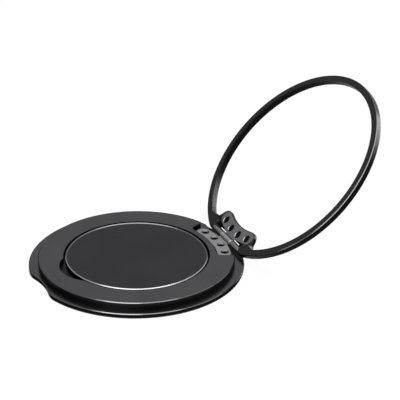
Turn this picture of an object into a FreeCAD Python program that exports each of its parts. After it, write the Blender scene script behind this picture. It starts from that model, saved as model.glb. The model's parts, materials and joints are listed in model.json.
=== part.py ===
import FreeCAD, Part
import math
import os

# Phone grip: a flat round magnetic base with a ring loop that folds out on a small three-knuckle hinge.
# Millimetres. Origin at the centre of the face that sits on the phone, +Z up, hinge on the +X side along Y.

# Base body
plate_radius = 30.0            # raised plate
plate_drop = 0.1               # plate's top below the top of the folded loop
plate_chamfer = 0.2
flange_height = 1.5            # low rim that the folded loop lies on
flange_setback = 0.25          # rim inside the loop's outer edge
flange_chamfer = 0.2

# Finger notch in the rim and fingernail crescent in the plate, nearly opposite the hinge
finger_angle = 184.0
notch_depth = 1.9
notch_radius = 22.0
notch_blend = 8.0
crescent_depth = 2.4           # crescent outside the pocket's wall
crescent_radius = 10.25

# Centre disc in its pocket
plate_border = 7.6             # pocket's wall to the plate's edge
disc_gap = 0.65
disc_rim_width = 0.5           # ridge round the disc, as high as the plate
disc_rim_height = 0.2          # ridge above the disc's face
floor_web = 0.35               # metal between the pocket and the magnets

# Soft skin glued on the phone side
skin_thickness = 0.4
skin_margin = 0.15             # skin's edge inside the rim's

# Ring of magnets and the steel shield above it
magnet_count = 16
magnet_setback = 0.8           # inner edge of the magnets outside the pocket's wall
magnet_width = 4.0
magnet_thickness = 0.65
magnet_gap_angle = 0.9
shield_thickness = 0.2
groove_clearance = 0.1

# Folding loop, drawn flat in its folded place
loop_side_gap = 1.0            # loop to the plate's wall
loop_width = 2.15
loop_thickness = 2.1
loop_clearance = 0.05          # folded loop above the rim
loop_chamfer = 0.2             # outer edges, the inner ones are sharp
open_angle = 135.0             # how far the loop stands open

# Hinge
hinge_overhang = 0.55          # hinge axis outside the plate's edge
pin_radius = 0.57
pin_running = 0.03             # pin to the base knuckle
pin_grip = 0.01                # pin to the loop knuckles
pin_recess = 0.15              # pin ends inside the barrel
middle_knuckle_half = 3.0
barrel_half = 8.8
knuckle_gap = 0.1
knuckle_chamfer = 0.1
seam_width = 0.1               # slit where a rolled knuckle comes back to its leaf
roll_edge_width = 0.4          # free edge of a loop knuckle, lying back along its tongue
roll_edge_thickness = 0.2
tongue_drop = 0.35             # loop knuckles' tongues below the face of their leaf
barrel_room = 0.15             # free space beside the barrel
bay_web = 0.3                  # metal left under the barrel

# Hinge leaves
leaf_setback = 0.9             # leaf's outer edge inside the plate's edge
leaf_width = 4.15
leaf_thickness = 0.4
leaf_gap = 0.1                 # between the two leaves when folded
leaf_half_angle = 16.9         # to the centre of a leaf's round end
leaf_fit = 0.12                # leaf in the loop's pad
hole_count = 4
hole_setback = 1.8             # holes inside the leaf's outer edge
hole_end_angle = 1.45          # last hole short of the centre of the round end
countersink_radius = 1.3

# Rivets
rivet_neck = 0.68              # under the head
rivet_shank = 0.6              # to the corners of the pressed shank
shank_sides = 6
rivet_sink = 0.26              # rivet head below the leaf's face
rivet_bite = 0.3               # shank below the leaf
rivet_clearance = 0.02
rivet_end_room = 0.05

# Loop's pad under its leaf, and the recess in the plate that takes it
pad_margin = 0.25              # pad past the leaf's inner edge
pad_end_margin = 0.9           # pad past the leaf's round ends
pad_corner = 3.0
pad_flare = 2.5                # pad's sides run into the ring with this radius
pad_room = 0.5                 # pad to the recess, at its inner edge
pad_side_room = 0.3            # pad to the recess, at its ends
recess_corner = 2.0
shoulder_room = 0.3            # base leaf's outer edge to the loop's full-thickness shoulders

# Places that follow from the sizes above
loop_inner = plate_radius + loop_side_gap
loop_outer = loop_inner + loop_width
loop_bottom = flange_height + loop_clearance
loop_top = loop_bottom + loop_thickness
total_height = loop_top - plate_drop
flange_radius = loop_outer - flange_setback
pocket_radius = plate_radius - plate_border
disc_radius = pocket_radius - disc_gap
disc_face = total_height - disc_rim_height
crescent_reach = pocket_radius + crescent_depth
magnet_inner = pocket_radius + magnet_setback
magnet_outer = magnet_inner + magnet_width
magnet_bottom = skin_thickness
shield_bottom = magnet_bottom + magnet_thickness
groove_top = shield_bottom + shield_thickness
pocket_floor = groove_top + floor_web
hinge_x = plate_radius + hinge_overhang
hinge_z = loop_bottom + loop_thickness / 2
barrel_radius = pin_radius + pin_running + leaf_thickness
bay_start = hinge_x - barrel_radius - barrel_room
bay_half = barrel_half + knuckle_gap
bay_floor = skin_thickness + bay_web
leaf_outer = plate_radius - leaf_setback
leaf_inner = leaf_outer - leaf_width
leaf_middle = (leaf_inner + leaf_outer) / 2
leaf_top = hinge_z - leaf_gap / 2
leaf_bottom = leaf_top - leaf_thickness
hole_circle = leaf_outer - hole_setback
hole_half_angle = leaf_half_angle - hole_end_angle
pad_face = hinge_z + leaf_gap / 2
pad_inner = leaf_inner - pad_margin
pad_half_angle = leaf_half_angle + math.degrees((leaf_width / 2 + pad_end_margin) / leaf_middle)
shoulder_inner = leaf_outer + shoulder_room
recess_inner = pad_inner - pad_room
recess_half_angle = pad_half_angle + math.degrees(pad_side_room / leaf_middle)
rim_corner = pad_flare - loop_side_gap - pad_side_room
beyond = loop_outer + total_height
up = FreeCAD.Vector(0, 0, 1)
axis_point = FreeCAD.Vector(hinge_x, 0, hinge_z)
axis_direction = FreeCAD.Vector(0, 1, 0)


def polar(radius, degrees):
    angle = math.radians(degrees)
    return FreeCAD.Vector(radius * math.cos(angle), radius * math.sin(angle), 0)


def mirrored(point):
    return FreeCAD.Vector(point.x, -point.y, point.z)


def straight(start, end):
    return Part.LineSegment(start, end).toShape()


def arc_through(start, middle, end):
    return Part.Arc(start, middle, end).toShape()


# Arc of less than half a turn about a known centre
def arc_about(centre, start, end):
    middle = (start - centre) + (end - centre)
    middle.normalize()
    return arc_through(start, centre + middle * (start - centre).Length, end)


def outline(edges):
    return Part.Wire(Part.__sortEdges__(edges))


def slab(wire, bottom, top):
    face = Part.Face(wire)
    face.translate(up * bottom)
    return face.extrude(up * (top - bottom))


def cylinder(radius, bottom, top):
    return Part.makeCylinder(radius, top - bottom, up * bottom)


def tube(inner, outer, bottom, top):
    return cylinder(outer, bottom, top).cut(cylinder(inner, bottom, top))


def box(low, high):
    size = FreeCAD.Vector(*high) - FreeCAD.Vector(*low)
    return Part.makeBox(size.x, size.y, size.z, FreeCAD.Vector(*low))


# Cylinder on the hinge axis, from one place along Y to another
def axle(radius, start, end):
    return Part.makeCylinder(radius, end - start, FreeCAD.Vector(hinge_x, start, hinge_z), axis_direction)


# Rolled knuckle with its end edges broken
def knuckle(start, end):
    barrel = axle(barrel_radius, start, end)
    return barrel.makeChamfer(knuckle_chamfer, [e for e in barrel.Edges if e.BoundBox.YLength < 1e-6])


def level_edges(shape, height):
    flat = [e for e in shape.Edges if e.BoundBox.ZLength < 1e-6]
    return [e for e in flat if abs(e.BoundBox.ZMin - height) < 1e-6]


# Round outline of the rim with its finger notch, drawn inside the true edge by an offset
def notched_outline(offset):
    rim = flange_radius - offset
    notch = notch_radius + offset
    blend = notch_blend - offset
    centre = FreeCAD.Vector(flange_radius - notch_depth + notch_radius, 0, 0)
    reach = rim - blend
    cosine = (reach ** 2 + centre.x ** 2 - (notch + blend) ** 2) / (2 * reach * centre.x)
    turn = math.degrees(math.acos(cosine))
    blend_centre = polar(reach, turn)
    on_rim = polar(rim, turn)
    on_notch = centre + (blend_centre - centre) * (notch / (notch + blend))
    deepest = FreeCAD.Vector(centre.x - notch, 0, 0)
    edges = [
        arc_through(on_rim, polar(rim, 180), mirrored(on_rim)),
        arc_about(blend_centre, on_rim, on_notch),
        arc_through(on_notch, deepest, mirrored(on_notch)),
        arc_about(mirrored(blend_centre), mirrored(on_rim), mirrored(on_notch)),
    ]
    wire = outline(edges)
    wire.rotate(FreeCAD.Vector(0, 0, 0), up, finger_angle)
    return wire


# Both ends of a ring sector that runs into a larger circle: a rounded inner corner, a radial side and a flare
def flared_sides(inner, corner, half_angle, circle, flare):
    corner_turn = half_angle - math.degrees(math.asin(corner / (inner + corner)))
    flare_turn = half_angle + math.degrees(math.asin(flare / (circle - flare)))
    corner_centre = polar(inner + corner, corner_turn)
    flare_centre = polar(circle - flare, flare_turn)
    on_inner = polar(inner, corner_turn)
    side_start = polar(math.sqrt((inner + corner) ** 2 - corner ** 2), half_angle)
    side_end = polar(math.sqrt((circle - flare) ** 2 - flare ** 2), half_angle)
    on_circle = polar(circle, flare_turn)
    edges = [arc_through(on_inner, polar(inner, 0), mirrored(on_inner))]
    for side in (FreeCAD.Vector, mirrored):
        edges.append(arc_about(side(corner_centre), side(on_inner), side(side_start)))
        edges.append(straight(side(side_start), side(side_end)))
        edges.append(arc_about(side(flare_centre), side(side_end), side(on_circle)))
    return edges, on_circle


# Curved plate with full round ends, grown by a clearance
def leaf_outline(clearance):
    inner = leaf_inner - clearance
    outer = leaf_outer + clearance
    on_inner = polar(inner, leaf_half_angle)
    on_outer = polar(outer, leaf_half_angle)
    middle = polar(leaf_middle, leaf_half_angle)
    end_direction = polar(1, leaf_half_angle + 90)
    tip = middle + end_direction * (leaf_width / 2 + clearance)
    edges = [
        arc_through(on_inner, polar(inner, 0), mirrored(on_inner)),
        arc_through(on_outer, polar(outer, 0), mirrored(on_outer)),
    ]
    for side in (FreeCAD.Vector, mirrored):
        edges.append(arc_through(side(on_inner), side(tip), side(on_outer)))
    return outline(edges)


def hole_places():
    pitch = 2 * hole_half_angle / (hole_count - 1)
    return [polar(hole_circle, index * pitch - hole_half_angle) for index in range(hole_count)]


# Radius of a hole's cone at a depth below the leaf's face
def cone_radius(depth):
    narrowest = rivet_neck + rivet_clearance
    return countersink_radius - (countersink_radius - narrowest) * depth / leaf_thickness


# Six-sided shank of a rivet, or the hole it is pressed into, down from under the leaf
def shank(corner_radius, depth):
    corners = [polar(corner_radius, index * 360 / shank_sides) for index in range(shank_sides)]
    return slab(Part.makePolygon(corners + corners[:1]), leaf_bottom - depth, leaf_bottom)


# Turned over into the loop's half of the hinge, then swung open
def turned_over(shape):
    return shape.mirror(axis_point, up)


def swung_open(shape):
    opened = shape.copy()
    opened.rotate(axis_point, axis_direction, open_angle)
    return opened


# Recess for the hinge: a seat for the leaf, a lower floor past it, and a bay under the barrel across the rim
def hinge_recess():
    edges, on_plate = flared_sides(recess_inner, recess_corner, recess_half_angle, plate_radius, rim_corner)
    outside = on_plate * (beyond / plate_radius)
    edges.append(straight(on_plate, outside))
    edges.append(straight(mirrored(on_plate), mirrored(outside)))
    edges.append(arc_through(outside, polar(beyond, 0), mirrored(outside)))
    recess = outline(edges)
    seat = slab(recess, leaf_bottom, beyond)
    lower_floor = slab(recess, flange_height, beyond).cut(cylinder(leaf_outer, 0, beyond))
    bay = box((bay_start, -beyond, bay_floor), (beyond, beyond, beyond))
    return seat.fuse(lower_floor).fuse(bay)


def rivet_holes():
    hole = shank(rivet_shank + rivet_clearance, rivet_bite + rivet_end_room)
    holes = []
    for place in hole_places():
        one = hole.copy()
        one.translate(place)
        holes.append(one)
    return Part.Compound(holes)


def make_base_body():
    rim = slab(notched_outline(0), skin_thickness, flange_height)
    rim = rim.makeChamfer(flange_chamfer, level_edges(rim, flange_height))
    plate = cylinder(plate_radius, skin_thickness, total_height)
    plate = plate.makeChamfer(plate_chamfer, level_edges(plate, total_height))
    body = rim.fuse(plate).removeSplitter()
    pocket = cylinder(pocket_radius, pocket_floor, beyond)
    crescent = cylinder(crescent_radius, pocket_floor, beyond)
    crescent.translate(polar(crescent_reach - crescent_radius, finger_angle))
    groove = tube(magnet_inner - groove_clearance, magnet_outer + groove_clearance, 0, groove_top)
    for space in (pocket.fuse(crescent).removeSplitter(), groove, hinge_recess(), rivet_holes()):
        body = body.cut(space)
    return body


# Turned disc: a flat face inside a sharp ridge
def make_center_disc():
    corners = [
        (0, pocket_floor),
        (disc_radius, pocket_floor),
        (disc_radius, disc_face),
        (disc_radius - disc_rim_width / 2, total_height),
        (disc_radius - disc_rim_width, disc_face),
        (0, disc_face),
    ]
    points = [FreeCAD.Vector(radius, 0, height) for radius, height in corners]
    section = Part.Face(Part.makePolygon(points + points[:1]))
    return section.revolve(FreeCAD.Vector(0, 0, 0), up, 360)


def make_bottom_skin():
    return slab(notched_outline(skin_margin), 0, skin_thickness)


def make_magnet(index):
    pitch = 360 / magnet_count
    sweep = pitch - magnet_gap_angle
    low = FreeCAD.Vector(magnet_inner, 0, magnet_bottom)
    high = FreeCAD.Vector(magnet_outer, 0, magnet_bottom)
    section = Part.Face(Part.makePolygon([low, high, high + up * magnet_thickness,
                                          low + up * magnet_thickness, low]))
    magnet = section.revolve(FreeCAD.Vector(0, 0, 0), up, sweep)
    magnet.rotate(FreeCAD.Vector(0, 0, 0), up, index * pitch - sweep / 2)
    return magnet


def make_magnet_shield():
    return tube(magnet_inner, magnet_outer, shield_bottom, groove_top)


# A leaf in the base's half of the hinge, with a tongue rolled into a knuckle over each span along the barrel
def hinge_leaf(spans, drop, bore_clearance):
    leaf = slab(leaf_outline(0), leaf_bottom, leaf_top)
    for start, end in spans:
        tongue = box((hole_circle, start, leaf_bottom - drop), (hinge_x, end, leaf_top - drop))
        leaf = leaf.fuse(tongue).fuse(knuckle(start, end))
    leaf = leaf.removeSplitter()
    bore = pin_radius + bore_clearance
    for start, end in spans:
        leaf = leaf.cut(axle(bore, start, end))
        seam = box((hinge_x - barrel_radius, start, leaf_top - drop),
                   (hinge_x - bore / 2, end, leaf_top - drop + seam_width))
        leaf = leaf.cut(seam)
    hole = Part.makeCone(cone_radius(leaf_thickness), countersink_radius, leaf_thickness, up * leaf_bottom)
    for place in hole_places():
        one = hole.copy()
        one.translate(place)
        leaf = leaf.cut(one)
    return leaf.cut(rivet_holes())


def make_base_leaf():
    return hinge_leaf([(-middle_knuckle_half, middle_knuckle_half)], 0, pin_running)


# The loop's leaf runs up to the base's knuckle in the middle, and its own two tongues lie lower
def make_loop_leaf():
    inner_end = middle_knuckle_half + knuckle_gap
    spans = [(-barrel_half, -inner_end), (inner_end, barrel_half)]
    leaf = hinge_leaf(spans, tongue_drop, pin_grip)
    barrel_edge = hinge_x - barrel_radius
    lip = box((hole_circle + countersink_radius, -middle_knuckle_half, leaf_bottom),
              (barrel_edge - knuckle_gap, middle_knuckle_half, leaf_top))
    leaf = leaf.fuse(lip)
    roll_edge_bottom = leaf_top - tongue_drop + seam_width
    for start, end in spans:
        roll_edge = box((barrel_edge - roll_edge_width, start, roll_edge_bottom),
                        (barrel_edge + leaf_thickness / 2, end, roll_edge_bottom + roll_edge_thickness))
        leaf = leaf.fuse(roll_edge)
    return turned_over(leaf.removeSplitter())


# Countersunk rivet with a flat head
def make_rivet(place):
    head_radius = cone_radius(rivet_sink) - rivet_clearance
    head = Part.makeCone(rivet_neck, head_radius, leaf_thickness - rivet_sink, up * leaf_bottom)
    rivet = head.fuse(shank(rivet_shank, rivet_bite))
    rivet.translate(place)
    return rivet


def make_hinge_pin():
    end = barrel_half - pin_recess
    return axle(pin_radius, -end, end)


# One casting: the ring, the pad that carries its leaf and two round-heeled shoulders beside the barrel
def make_loop_frame():
    edges, on_ring = flared_sides(pad_inner, pad_corner, pad_half_angle, loop_inner, pad_flare)
    edges.append(arc_through(on_ring, polar(loop_inner, 180), mirrored(on_ring)))
    ring = cylinder(loop_outer, loop_bottom, loop_top)
    ring = ring.makeChamfer(loop_chamfer, level_edges(ring, loop_top) + level_edges(ring, loop_bottom))
    loop = ring.cut(slab(outline(edges), loop_bottom, loop_top))
    under_pad = cylinder(shoulder_inner, loop_bottom, pad_face)
    between_shoulders = box((0, -bay_half, loop_bottom), (beyond, bay_half, pad_face))
    barrel_bay = box((bay_start, -bay_half, 0), (beyond, bay_half, beyond))
    past_axis = box((hinge_x, -beyond, 0), (beyond, beyond, beyond))
    heel = axle(loop_thickness / 2, -beyond, beyond)
    for space in (under_pad, between_shoulders, barrel_bay, past_axis.cut(heel)):
        loop = loop.cut(space)
    leaf_bed = slab(leaf_outline(leaf_fit), leaf_bottom, leaf_top)
    lip_bed = box((hole_circle, -bay_half, leaf_bottom), (beyond, bay_half, leaf_top))
    tongue_start = middle_knuckle_half + knuckle_gap - leaf_fit
    for space in (leaf_bed, lip_bed, rivet_holes()):
        loop = loop.cut(turned_over(space))
    tongue_bottom = leaf_bottom - tongue_drop
    for low, high in ((-bay_half, -tongue_start), (tongue_start, bay_half)):
        tongue_bed = box((hole_circle - leaf_fit, low, tongue_bottom), (beyond, high, leaf_bottom))
        loop = loop.cut(turned_over(tongue_bed))
    return loop


parts = {
    "base_body": make_base_body(),
    "center_disc": make_center_disc(),
    "bottom_skin": make_bottom_skin(),
    "magnet_shield": make_magnet_shield(),
    "base_leaf": make_base_leaf(),
    "loop_frame": swung_open(make_loop_frame()),
    "loop_leaf": swung_open(make_loop_leaf()),
    "hinge_pin": swung_open(make_hinge_pin()),
}
for index in range(magnet_count):
    parts[f"magnet_{index + 1:02d}"] = make_magnet(index)
for index, place in enumerate(hole_places(), start=1):
    parts[f"base_rivet_{index}"] = make_rivet(place)
    parts[f"loop_rivet_{index}"] = swung_open(turned_over(make_rivet(place)))

os.makedirs("parts", exist_ok=True)
for name, shape in parts.items():
    shape.exportStep(f"parts/{name}.step")
    print(name, shape.isValid(), len(shape.Solids), round(shape.Volume, 3))
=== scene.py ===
import json
import math
import bpy
from mathutils import Matrix, Vector


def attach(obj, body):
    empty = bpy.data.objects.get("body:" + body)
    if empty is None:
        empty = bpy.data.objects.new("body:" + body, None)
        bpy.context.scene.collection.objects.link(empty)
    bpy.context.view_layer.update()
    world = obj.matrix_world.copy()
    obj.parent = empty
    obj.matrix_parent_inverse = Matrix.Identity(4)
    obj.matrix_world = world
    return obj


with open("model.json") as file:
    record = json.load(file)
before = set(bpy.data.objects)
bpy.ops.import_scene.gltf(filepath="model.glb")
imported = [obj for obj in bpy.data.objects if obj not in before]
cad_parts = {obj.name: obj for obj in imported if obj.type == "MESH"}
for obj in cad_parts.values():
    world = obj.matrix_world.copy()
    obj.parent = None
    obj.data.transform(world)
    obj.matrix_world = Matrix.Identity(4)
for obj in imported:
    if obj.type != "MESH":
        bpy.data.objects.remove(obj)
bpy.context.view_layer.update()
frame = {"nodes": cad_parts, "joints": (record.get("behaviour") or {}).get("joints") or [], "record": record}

scene = bpy.context.scene
nodes = frame["nodes"]
mm = 0.001

# directions on the part, with the loop standing open
across = (1, 0, 0)
hingeLine = (0, 1, 0)
up = (0, 0, 1)
loopFace = (-math.sqrt(0.5), 0, math.sqrt(0.5))           # out of the loop's flat face
loopOut = (math.sqrt(0.5), 0, math.sqrt(0.5))             # along the loop, away from the hinge
hingeSpot = tuple(frame["joints"][0]["pos_m"])


# photo camera: a long lens, looking nearly along the hinge and down at the plate
cameraSetup = {
    "azimuth": -24.35,                        # degrees, 0 looks along +Y
    "elevation": 25.93,
    "roll": 0.66,
    "distance": 467.3,                        # mm from the aim point
    "aim": (17.44, -7.89, 22.25),             # mm
    "lens": 140.1,                            # mm
    "sensor": 36,                             # mm
    "near": 10,                               # mm, where the view begins
}


def addCamera(setup):
    turn = math.radians(setup["azimuth"])
    lift = math.radians(setup["elevation"])
    lean = math.radians(setup["roll"])
    back = Vector((math.sin(turn) * math.cos(lift), -math.cos(turn) * math.cos(lift), math.sin(lift)))
    right = Vector((math.cos(turn), math.sin(turn), 0))
    upward = back.cross(right)
    leanRight = right * math.cos(lean) + upward * math.sin(lean)
    leanUp = upward * math.cos(lean) - right * math.sin(lean)
    data = bpy.data.cameras.new("photoCamera")
    data.lens = setup["lens"]
    data.sensor_width = setup["sensor"]
    data.clip_start = setup["near"] * mm
    camera = bpy.data.objects.new("photoCamera", data)
    scene.collection.objects.link(camera)
    turnMatrix = Matrix((leanRight, leanUp, back)).transposed().to_4x4()
    place = (Vector(setup["aim"]) + back * setup["distance"]) * mm
    camera.matrix_world = Matrix.Translation(place) @ turnMatrix
    scene.camera = camera


addCamera(cameraSetup)
print("camera in place")


# small helpers for building a finish out of nodes
def newFinish(name):
    material = bpy.data.materials.new(name)
    material.use_nodes = True
    tree = material.node_tree
    return material, tree, tree.nodes["Principled BSDF"]


def addNode(tree, kind, sockets, **settings):
    node = tree.nodes.new(kind)
    for name, value in settings.items():
        setattr(node, name, value)
    for name, value in sockets.items():
        if isinstance(value, bpy.types.NodeSocket):
            tree.links.new(value, node.inputs[name])
        else:
            node.inputs[name].default_value = value
    return node


def placeOnPart(tree):
    return addNode(tree, "ShaderNodeTexCoord", {}).outputs["Object"]


def faceDirection(tree):
    return addNode(tree, "ShaderNodeTexCoord", {}).outputs["Normal"]


def vectorSums(tree, operation, sockets):
    return addNode(tree, "ShaderNodeVectorMath", sockets, operation=operation).outputs


def along(tree, vector, axis):                # how far a vector points along an axis
    return vectorSums(tree, "DOT_PRODUCT", {0: vector, 1: axis})["Value"]


def levelled(tree, spot):                     # a place without its height
    return vectorSums(tree, "MULTIPLY", {0: spot, 1: (1, 1, 0)})["Vector"]


def fromAxis(tree, spot):                     # a place, measured from the hinge's axis
    return vectorSums(tree, "SUBTRACT", {0: spot, 1: hingeSpot})["Vector"]


def shade(tree, colour, amount):              # a colour, darker or lighter by a factor
    return vectorSums(tree, "SCALE", {0: colour, "Scale": amount})["Vector"]


def sums(tree, operation, first, second=0.0):
    return addNode(tree, "ShaderNodeMath", {0: first, 1: second}, operation=operation).outputs["Value"]


def under(tree, value, limit):                # 1 where a value is below the limit
    return sums(tree, "LESS_THAN", value, limit)


def over(tree, value, limit):                 # 1 where a value is above the limit
    return sums(tree, "GREATER_THAN", value, limit)


def times(tree, first, *others):              # values multiplied, or masks that hold together
    for other in others:
        first = sums(tree, "MULTIPLY", first, other)
    return first


def rise(tree, value, low, high, start=0.0, end=1.0):     # eases from start to end between low and high
    sockets = {"Value": value, "From Min": low, "From Max": high, "To Min": start, "To Max": end}
    return addNode(tree, "ShaderNodeMapRange", sockets, interpolation_type="SMOOTHSTEP").outputs["Result"]


def band(tree, value, low, high, ease):       # 1 between low and high, 0 outside
    risen = rise(tree, value, low - ease, low + ease)
    fallen = rise(tree, value, high - ease, high + ease, 1.0, 0.0)
    return times(tree, risen, fallen)


def mixColours(tree, share, first, second):
    node = tree.nodes.new("ShaderNodeMix")
    node.data_type = "RGBA"
    for socket, value in (("Factor_Float", share), ("A_Color", first), ("B_Color", second)):
        slot = next(one for one in node.inputs if one.identifier == socket)
        if isinstance(value, bpy.types.NodeSocket):
            tree.links.new(value, slot)
        else:
            slot.default_value = (*value, 1)
    return next(one for one in node.outputs if one.identifier == "Result_Color")


def mixValues(tree, share, first, second):
    sockets = {"Value": share, "To Min": first, "To Max": second}
    return addNode(tree, "ShaderNodeMapRange", sockets).outputs["Result"]


def grain(tree, spot, perMetre, detail, stretch=(1, 1, 1)):       # noise, even or drawn out
    scaled = addNode(tree, "ShaderNodeMapping", {"Vector": spot, "Scale": stretch}).outputs["Vector"]
    sockets = {"Vector": scaled, "Scale": perMetre, "Detail": detail}
    return addNode(tree, "ShaderNodeTexNoise", sockets).outputs["Fac"]


def roughen(tree, height, depth, strength, normal=None):          # bump, its depth in metres
    sockets = {"Height": height, "Distance": depth, "Strength": strength}
    if normal:
        sockets["Normal"] = normal
    return addNode(tree, "ShaderNodeBump", sockets).outputs["Normal"]


def softEdge(tree, radius):                   # rounds the light on an edge, radius in metres
    return addNode(tree, "ShaderNodeBevel", {"Radius": radius}, samples=6).outputs["Normal"]


def partDirection(tree, direction):           # a fixed direction on the part, turning with it
    turned = {"vector_type": "NORMAL", "convert_from": "OBJECT", "convert_to": "WORLD"}
    return addNode(tree, "ShaderNodeVectorTransform", {"Vector": direction}, **turned).outputs["Vector"]


def grey(level):
    return (level, level, level)


def fit(tree, shader, colour, roughness, normal):
    for name, value in (("Base Color", colour), ("Roughness", roughness), ("Normal", normal)):
        tree.links.new(value, shader.inputs[name])


# how the noises are read: their detail, and the stretch of each over which its effect runs
noiseSetup = {
    "cloudDetail": 2.0,
    "fineDetail": 3.0,
    "lineDetail": 4.0,
    "cloud": (0.3, 0.7),
    "shade": (0.25, 0.75),
    "rough": (0.2, 0.8),
}


# what the turned and milled aluminium pieces share
turnedSetup = {
    "gloss": 0.1,
    "wallTilt": (0.15, 0.4),                  # how flat a face lies, 0 on a wall: walls fade out here
    "edgeTilt": (0.5, 0.9),                   # and cut edges lie between these
    "edgeEase": 0.01,
    "patches": (0.94, 1.06),                  # factors on the colour
    "specks": (0.9, 1.1),
    "unevenRough": (0.88, 1.12),
    "bump": 0.35,
}

# the base: dark blasted aluminium with pale flats and glossy cut edges; its walls are painted near-black as
# painted shade
plateLook = {
    "flat": (0.152, 0.148, 0.16),
    # painted shade: walls are darker than the flats
    "wall": (0.028, 0.028, 0.029),
    "lowWallShade": (0.006, 0.006, 0.0065),        # painted shade, darker still, on walls below the rim's face
    "rimTop": 1.5 * mm,
    "edge": (0.2, 0.2, 0.205),
    "glance": 0.45,                           # how much light comes off at a low angle
    "edgeGlance": 0.1,
    "flatRough": 0.24,
    "wallRough": 0.34,
    "edgeRough": 0.12,
    "grainPerMetre": 7000,
    "grainDepth": 0.004 * mm,
    "cloudPerMetre": 45,
    "paintedShade": (0.012, 0.012, 0.016),            # painted shade on the floors of the disc's pocket and of the hinge's bay
    "pocketRadius": 25.5 * mm,
    "pocketTop": 2.0 * mm,
    "bayTop": 1.4 * mm,
}

# the loose disc: finer and darker than the plate, with a bright turned ridge
discLook = {
    "flat": (0.073, 0.072, 0.077),
    # painted shade: walls are darker than the flats
    "wall": (0.02, 0.02, 0.021),
    "edge": (0.62, 0.62, 0.63),
    "innerEdgeShade": (0.26, 0.26, 0.265),         # painted shade on the ridge's inner slope
    "glance": 0.5,
    "edgeGlance": 0.3,
    "flatRough": 0.36,
    "wallRough": 0.3,
    "edgeRough": 0.22,
    "grainPerMetre": 9000,
    "grainDepth": 0.003 * mm,
    "cloudPerMetre": 60,
    "edgeRadius": 0.03 * mm,
}

# the loop: satin black, with a finer grain than the plate
loopLook = {
    "flat": (0.06, 0.06, 0.06),
    # painted shade: walls near black
    "wall": (0.007, 0.007, 0.007),
    "edge": (0.2, 0.2, 0.2),
    "glance": 0.65,
    "edgeGlance": 0.3,
    "flatRough": 0.32,
    "wallRough": 0.32,
    "edgeRough": 0.2,
    "grainPerMetre": 8000,
    "grainDepth": 0.003 * mm,
    "cloudPerMetre": 50,
    "edgeRadius": 0.05 * mm,
    "shoulderPaintedLight": (0.25, 0.25, 0.25),           # painted light on the walls beside the barrel
    "shoulderAside": 10.5 * mm,               # along the hinge, each side of the middle
    "shoulderReach": 4.0 * mm,                # out from the hinge
    "shoulderLean": 2.1 * mm,                 # how far a wall faces the middle, times its distance
}


# floors of the disc's pocket and of the hinge's bay, which get painted shade
def shadedFloors(tree, spot, look):
    height = along(tree, spot, up)
    radius = vectorSums(tree, "LENGTH", {0: levelled(tree, spot)})["Value"]
    within = under(tree, radius, look["pocketRadius"])
    inPocket = times(tree, within, under(tree, height, look["pocketTop"]))
    return sums(tree, "MAXIMUM", inPocket, under(tree, height, look["bayTop"]))


# walls beside the barrel that face the middle, which get painted light
def shoulderLightMask(tree, spot, look):
    offset = fromAxis(tree, spot)
    aside = along(tree, offset, hingeLine)
    inward = times(tree, along(tree, faceDirection(tree), hingeLine), aside)
    near = under(tree, along(tree, offset, loopOut), look["shoulderReach"])
    beside = under(tree, sums(tree, "ABSOLUTE", aside), look["shoulderAside"])
    return times(tree, near, beside, under(tree, inward, -look["shoulderLean"]))


# wall colour: painted shade, lower walls darker, and painted light beside the barrel on the loop
def wallShadeAndLight(tree, spot, look):
    wall = look["wall"]
    if "lowWallShade" in look:
        raised = over(tree, along(tree, spot, up), look["rimTop"])
        wall = mixColours(tree, raised, look["lowWallShade"], wall)
    if "shoulderPaintedLight" in look:
        wall = mixColours(tree, shoulderLightMask(tree, spot, look), wall, look["shoulderPaintedLight"])
    return wall


# cut edge colour, with painted shade on the disc ridge's inner slope
def edgeColour(tree, spot, look):
    edge = look["edge"]
    if "innerEdgeShade" in look:
        inward = under(tree, along(tree, faceDirection(tree), levelled(tree, spot)), 0.0)
        edge = mixColours(tree, inward, edge, look["innerEdgeShade"])
    return edge


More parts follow.
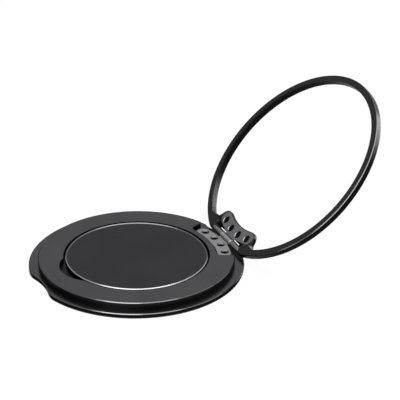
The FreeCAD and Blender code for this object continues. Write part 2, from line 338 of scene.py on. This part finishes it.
def turnedFinish(name, look, facing):
    material, tree, shader = newFinish(name)
    shader.inputs["Metallic"].default_value = 1.0
    shader.inputs["Specular IOR Level"].default_value = turnedSetup["gloss"]
    spot = placeOnPart(tree)
    tilt = sums(tree, "ABSOLUTE", along(tree, faceDirection(tree), facing))
    onWall = rise(tree, tilt, *turnedSetup["wallTilt"], 1.0, 0.0)
    onEdge = band(tree, tilt, *turnedSetup["edgeTilt"], turnedSetup["edgeEase"])
    fine = grain(tree, spot, look["grainPerMetre"], noiseSetup["fineDetail"])
    cloud = grain(tree, spot, look["cloudPerMetre"], noiseSetup["cloudDetail"])
    patches = rise(tree, cloud, *noiseSetup["cloud"], *turnedSetup["patches"])
    mottle = times(tree, patches, rise(tree, fine, *noiseSetup["shade"], *turnedSetup["specks"]))
    flat = look["flat"]
    # painted shade on the low floors, which also lose their metal
    if "paintedShade" in look:
        tilted = sums(tree, "MAXIMUM", onWall, onEdge)
        paintedShade = sums(tree, "MAXIMUM", sums(tree, "SUBTRACT", shadedFloors(tree, spot, look), tilted), 0.0)
        flat = mixColours(tree, paintedShade, flat, look["paintedShade"])
        tree.links.new(sums(tree, "SUBTRACT", 1.0, paintedShade), shader.inputs["Metallic"])
    # walls take their painted shade
    colour = mixColours(tree, onWall, flat, wallShadeAndLight(tree, spot, look))
    colour = mixColours(tree, onEdge, colour, edgeColour(tree, spot, look))
    roughness = mixValues(tree, onWall, look["flatRough"], look["wallRough"])
    roughness = mixValues(tree, onEdge, roughness, look["edgeRough"])
    uneven = rise(tree, fine, *noiseSetup["rough"], *turnedSetup["unevenRough"])
    rounded = softEdge(tree, look["edgeRadius"]) if "edgeRadius" in look else None
    normal = roughen(tree, fine, look["grainDepth"], turnedSetup["bump"], rounded)
    glance = mixColours(tree, onEdge, grey(look["glance"]), grey(look["edgeGlance"]))
    tree.links.new(glance, shader.inputs["Specular Tint"])
    fit(tree, shader, shade(tree, colour, mottle), times(tree, roughness, uneven), normal)
    return material


# what the brushed steel pieces share
brushedSetup = {
    "cloudPerMetre": 250,
    "patches": (0.95, 1.05),                  # factors on the colour
    "lines": (0.86, 1.12),
    "unevenRough": (1.2, 0.85),
    "bump": 0.3,
}

# the hinge leaves: drawn steel strip, brushed along the hinge, heights and reaches from the hinge's axis
leafLook = {
    "paintedHoleShade": (0.01, 0.01, 0.011),              # painted shade in the holes below the countersinks
    "coneTilt": (0.7, 0.93),                  # how far a countersink faces out of the leaf
    "coneEase": 0.03,
    "barrelSide": 1.03 * mm,                  # just outside the barrel
    "glance": grey(0.35),
    "rough": 0.28,
    "brushPerMetre": 1000,
    "brushStretch": (9, 0.35, 9),
    "brushDepth": 0.004 * mm,
    "edgeRadius": 0.06 * mm,
}
baseLeafLook = {
    **leafLook,
    "steel": (0.57, 0.57, 0.58),
    "dull": (0.53, 0.53, 0.54),
    "cone": (0.16, 0.16, 0.163),              # painted shade on the countersinks
    "facing": up,
    "outward": (-1, 0, 0),                    # along the leaf, away from the hinge
    "sunkBelow": -0.33 * mm,
}
loopLeafLook = {
    **leafLook,
    "steel": (0.345, 0.345, 0.355),
    "dull": (0.315, 0.315, 0.325),
    # painted highlight on the countersinks
    "cone": (0.42, 0.42, 0.43),
    "paintedLitSide": (0, -1, 0),                        # countersinks keep their painted highlight on the side that faces this way and take painted shade on the other side
    "litFrom": (0.1, 0.3),
    "facing": loopFace,
    "outward": loopOut,
    "sunkBelow": -0.16 * mm,
    "paintedShade": (0.012, 0.012, 0.013),            # painted shade on the tongues beside the barrel and on the lip ends
    "tongue": (-0.46 * mm, -0.3 * mm),
    "lipTilt": -0.8,                          # ends of the lips, which face the hinge
    "heightEase": 0.01 * mm,
    "rolled": (0.7, 0.7, 0.7),                # rolled edges lying on the tongues: painted shade, with a painted highlight near the middle
    "rolledEdge": (-0.14 * mm, -0.08 * mm),
    "rolledReach": 1.45 * mm,
    "rolledFrom": 3.05 * mm,                  # along the hinge, each side of the middle
    "brightTo": 6.4 * mm,
    "brightOver": 1.2 * mm,
    "rolledLean": (-0.317, -0.487, 0.813),    # the rolled edges' rounding, towards the light overhead
}


def leafPlace(tree, spot, look):
    offset = fromAxis(tree, spot)
    reach = along(tree, offset, look["outward"])
    return {
        "height": along(tree, offset, look["facing"]),
        "reach": reach,
        "aside": sums(tree, "ABSOLUTE", along(tree, offset, hingeLine)),
        "onLeaf": over(tree, reach, look["barrelSide"]),
    }


# countersinks and holes: painted shade, and painted highlight on the loop leaf's countersinks
def holeShadeAndLight(tree, place, look, colour):
    facing = faceDirection(tree)
    tilted = band(tree, along(tree, facing, look["facing"]), *look["coneTilt"], look["coneEase"])
    cone = times(tree, tilted, place["onLeaf"])
    colour = mixColours(tree, cone, colour, look["cone"])
    paintedHoleShade = times(tree, cone, under(tree, place["height"], look["sunkBelow"]))
    colour = mixColours(tree, paintedHoleShade, colour, look["paintedHoleShade"])
    if "paintedLitSide" in look:
        paintedShadeSide = rise(tree, along(tree, facing, look["paintedLitSide"]), *look["litFrom"], 1.0, 0.0)
        colour = mixColours(tree, times(tree, cone, paintedShadeSide), colour, look["paintedHoleShade"])
    return colour


def tongueShadeAndHighlight(tree, place, look, colour):  # painted shade on the tongues, the lip ends and the rolled edges, and a painted highlight on the rolled edges; also gives where that highlight is
    sunken = band(tree, place["height"], *look["tongue"], look["heightEase"])
    lipEnd = under(tree, along(tree, faceDirection(tree), look["outward"]), look["lipTilt"])
    paintedShade = times(tree, sums(tree, "MAXIMUM", sunken, lipEnd), place["onLeaf"])
    colour = mixColours(tree, paintedShade, colour, look["paintedShade"])
    onEdge = band(tree, place["height"], *look["rolledEdge"], look["heightEase"])
    near = under(tree, place["reach"], look["rolledReach"])
    beside = over(tree, place["aside"], look["rolledFrom"])
    rolled = times(tree, onEdge, place["onLeaf"], near, beside)
    colour = mixColours(tree, rolled, colour, look["paintedShade"])
    inner = under(tree, place["aside"], look["brightTo"])
    paintedHighlight = times(tree, rolled, inner, over(tree, place["reach"], look["brightOver"]))
    return mixColours(tree, paintedHighlight, colour, look["rolled"]), paintedHighlight


def brushedFinish(name, look):
    material, tree, shader = newFinish(name)
    shader.inputs["Metallic"].default_value = 1.0
    shader.inputs["Specular Tint"].default_value = (*look["glance"], 1)
    spot = placeOnPart(tree)
    lines = grain(tree, spot, look["brushPerMetre"], noiseSetup["lineDetail"], look["brushStretch"])
    cloud = grain(tree, spot, brushedSetup["cloudPerMetre"], noiseSetup["cloudDetail"])
    patches = rise(tree, cloud, *noiseSetup["cloud"], *brushedSetup["patches"])
    mottle = times(tree, patches, rise(tree, lines, *noiseSetup["shade"], *brushedSetup["lines"]))
    colour = mixColours(tree, cloud, look["steel"], look["dull"])
    uneven = rise(tree, lines, *noiseSetup["rough"], *brushedSetup["unevenRough"])
    roughness = times(tree, uneven, look["rough"])
    rounded = softEdge(tree, look["edgeRadius"])
    normal = roughen(tree, lines, look["brushDepth"], brushedSetup["bump"], rounded)
    if "cone" in look:
        place = leafPlace(tree, spot, look)
        colour = holeShadeAndLight(tree, place, look, colour)
    if "tongue" in look:
        colour, paintedHighlight = tongueShadeAndHighlight(tree, place, look, colour)
        normal = mixColours(tree, paintedHighlight, normal, partDirection(tree, look["rolledLean"]))
    fit(tree, shader, shade(tree, colour, mottle), roughness, normal)
    return material


# the hinge pin
pinLook = {
    "steel": (0.62, 0.62, 0.62),
    "dull": (0.58, 0.58, 0.58),
    "glance": grey(0.8),
    "rough": 0.2,
    "brushPerMetre": 1500,
    "brushStretch": (1, 8, 1),
    "brushDepth": 0.002 * mm,
    "edgeRadius": 0.05 * mm,
}

# the shield ring above the magnets
shieldLook = {
    "steel": (0.52, 0.51, 0.5),
    "dull": (0.48, 0.47, 0.46),
    "glance": grey(0.8),
    "rough": 0.35,
    "brushPerMetre": 800,
    "brushStretch": (6, 0.3, 6),
    "brushDepth": 0.004 * mm,
    "edgeRadius": 0.04 * mm,
}

# the magnets' plating has an even grain instead of brush lines
magnetLook = {
    "steel": (0.69, 0.67, 0.62),
    "dull": (0.63, 0.61, 0.58),
    "glance": grey(0.8),
    "rough": 0.18,
    "brushPerMetre": 2500,
    "brushStretch": (1, 1, 1),
    "brushDepth": 0.003 * mm,
    "edgeRadius": 0.08 * mm,
}


# what the matt pieces share
mattSetup = {
    "cloudPerMetre": 90,
    "specks": (0.8, 1.2),                     # factors on the colour
    "unevenRough": (1.1, 0.9),
    "bump": 0.5,
}

# blackened rivets
rivetLook = {
    "colour": (0.002, 0.002, 0.0025),
    "worn": (0.003, 0.003, 0.0035),
    "gloss": 0.03,
    "rough": 0.45,
    "grainPerMetre": 9000,
    "grainDepth": 0.006 * mm,
}

# the soft skin below the base
skinLook = {
    "colour": (0.016, 0.016, 0.018),
    "worn": (0.02, 0.02, 0.022),
    "gloss": 0.4,
    "rough": 0.78,
    "grainPerMetre": 4200,
    "grainDepth": 0.02 * mm,
}


def mattFinish(name, look):
    material, tree, shader = newFinish(name)
    shader.inputs["Specular IOR Level"].default_value = look["gloss"]
    spot = placeOnPart(tree)
    fine = grain(tree, spot, look["grainPerMetre"], noiseSetup["fineDetail"])
    cloud = grain(tree, spot, mattSetup["cloudPerMetre"], noiseSetup["cloudDetail"])
    mottle = rise(tree, fine, *noiseSetup["shade"], *mattSetup["specks"])
    colour = mixColours(tree, rise(tree, cloud, *noiseSetup["cloud"]), look["colour"], look["worn"])
    uneven = rise(tree, fine, *noiseSetup["rough"], *mattSetup["unevenRough"])
    normal = roughen(tree, fine, look["grainDepth"], mattSetup["bump"])
    fit(tree, shader, shade(tree, colour, mottle), times(tree, uneven, look["rough"]), normal)
    return material


finishes = {
    "base_finish": turnedFinish("baseFinish", plateLook, up),
    "disc_finish": turnedFinish("discFinish", discLook, up),
    "loop_finish": turnedFinish("loopFinish", loopLook, loopFace),
    "soft_skin": mattFinish("softSkin", skinLook),
    "leaf_steel": brushedFinish("leafSteel", baseLeafLook),
    "pin_steel": brushedFinish("pinSteel", pinLook),
    "shield_steel": brushedFinish("shieldSteel", shieldLook),
    "magnet_plating": brushedFinish("magnetPlating", magnetLook),
    "rivet_black": mattFinish("rivetBlack", rivetLook),
}
loopLeafSteel = brushedFinish("loopLeafSteel", loopLeafLook)
slotOf = {row["node"]: row["material_slot"] for row in frame["record"]["subparts"]}
for nodeName, node in nodes.items():
    finish = loopLeafSteel if nodeName == "loop_leaf" else finishes[slotOf[nodeName]]
    for slot in node.material_slots:
        slot.material = finish
print("finishes on", len(nodes), "nodes")


# ledge of the loop's pad behind the middle knuckle, which closes the slit beside the barrel: a dark piece
# put there as painted shade
ledgeLook = {
    "half": 2.92 * mm,                        # along the hinge, each side of the middle
    "round": 1.06 * mm,                       # hollow face round the barrel
    "from": 26,                               # degrees behind the loop's plane
    "to": 64,
    "steps": 8,
    "root": 1.15 * mm,                        # where the pad begins, from the hinge's axis
    "finish": "loop_finish",
}


def addLedge(look):
    outward = Vector(loopOut)
    face = Vector(loopFace)
    section = []
    for step in range(look["steps"] + 1):
        turn = math.radians(look["from"] + (look["to"] - look["from"]) * step / look["steps"])
        section.append((look["round"] * math.cos(turn), -look["round"] * math.sin(turn)))
    section.append((look["root"], section[-1][1]))
    section.append((look["root"], section[0][1]))
    count = len(section)
    corners = []
    for side in (-look["half"], look["half"]):
        for reach, height in section:
            corners.append(Vector(hingeSpot) + outward * reach + face * height + Vector((0, side, 0)))
    faces = [tuple(range(count)), tuple(reversed(range(count, 2 * count)))]
    for index in range(count):
        after = (index + 1) % count
        faces.append((index, index + count, after + count, after))
    mesh = bpy.data.meshes.new("barrelShadeLedge")
    mesh.from_pydata(corners, [], faces)
    mesh.materials.append(finishes[look["finish"]])
    ledge = bpy.data.objects.new("barrelShadeLedge", mesh)
    scene.collection.objects.link(ledge)
    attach(ledge, "loop")


addLedge(ledgeLook)
print("ledge behind the barrel")


# pale floor: white to the eye and to polished metal, with a little of its own shading left for the shadow
floorLook = {
    "size": 3.0,                              # metres from the middle to an edge
    "drop": 0.02,                             # mm below the part
    "colour": grey(0.94),
    "rough": 0.9,
    "glow": 0.9,                              # share that is plain white
}


def addFloor(look):
    size = look["size"]
    mesh = bpy.data.meshes.new("floor")
    corners = [(-size, -size, 0), (size, -size, 0), (size, size, 0), (-size, size, 0)]
    mesh.from_pydata(corners, [], [(0, 1, 2, 3)])
    floor = bpy.data.objects.new("floor", mesh)
    scene.collection.objects.link(floor)
    floor.location.z = -look["drop"] * mm
    material, tree, shader = newFinish("paleFloor")
    shader.inputs["Base Color"].default_value = (*look["colour"], 1)
    shader.inputs["Roughness"].default_value = look["rough"]
    shader.inputs["Specular IOR Level"].default_value = 0.0
    rays = addNode(tree, "ShaderNodeLightPath", {})
    seen = sums(tree, "MAXIMUM", rays.outputs["Is Camera Ray"], rays.outputs["Is Glossy Ray"])
    seen = sums(tree, "MAXIMUM", seen, rays.outputs["Is Transmission Ray"])
    share = times(tree, seen, look["glow"])
    white = addNode(tree, "ShaderNodeEmission", {"Color": (1, 1, 1, 1), "Strength": 1.0})
    both = addNode(tree, "ShaderNodeMixShader", {0: share, 1: shader.outputs[0], 2: white.outputs[0]})
    tree.links.new(both.outputs[0], tree.nodes["Material Output"].inputs["Surface"])
    mesh.materials.append(material)


addFloor(floorLook)


# soft studio: a dim horizon that brightens overhead, and three soft boxes
skyLook = {
    "horizon": 0.45,
    "overhead": 0.6,
    "from": 0.28,                             # height of a direction, 0 level, 1 straight up
    "to": 0.95,
    "sideways": 0.35,                         # brighter to the right than to the left
}
boxes = {                                     # sizes and distances from the part in metres
    "topBox": {"towards": (-0.05, -0.11, 0.99), "away": 0.9, "size": (1.22, 1.1), "glow": 1.35},
    "leftBox": {"towards": (-0.57, -0.55, 0.61), "away": 0.9, "size": (0.5, 0.9), "glow": 2.1},
    "rightStrip": {"towards": (0.987, 0.12, 0.07), "away": 0.8, "size": (0.42, 0.1), "glow": 40.0},
}


def addSky(look):
    world = bpy.data.worlds.new("studio")
    scene.world = world
    world.use_nodes = True
    tree = world.node_tree
    direction = addNode(tree, "ShaderNodeTexCoord", {}).outputs["Generated"]
    height = along(tree, direction, up)
    level = rise(tree, height, look["from"], look["to"], look["horizon"], look["overhead"])
    side = times(tree, along(tree, direction, across), look["sideways"])
    level = times(tree, level, sums(tree, "ADD", side, 1.0))
    background = tree.nodes["Background"]
    background.inputs["Color"].default_value = (1, 1, 1, 1)
    tree.links.new(level, background.inputs["Strength"])


def addBox(name, look):
    aim = Vector(cameraSetup["aim"]) * mm
    towards = Vector(look["towards"]).normalized()
    data = bpy.data.lights.new(name, "AREA")
    data.shape = "RECTANGLE"
    data.size, data.size_y = look["size"]
    data.energy = look["glow"] * math.pi * data.size * data.size_y
    lamp = bpy.data.objects.new(name, data)
    scene.collection.objects.link(lamp)
    lamp.location = aim + towards * look["away"]
    lamp.rotation_euler = towards.to_track_quat("Z", "Y").to_euler()


addSky(skyLook)
for boxName, boxLook in boxes.items():
    addBox(boxName, boxLook)
scene.view_settings.view_transform = "Standard"
print("studio ready")
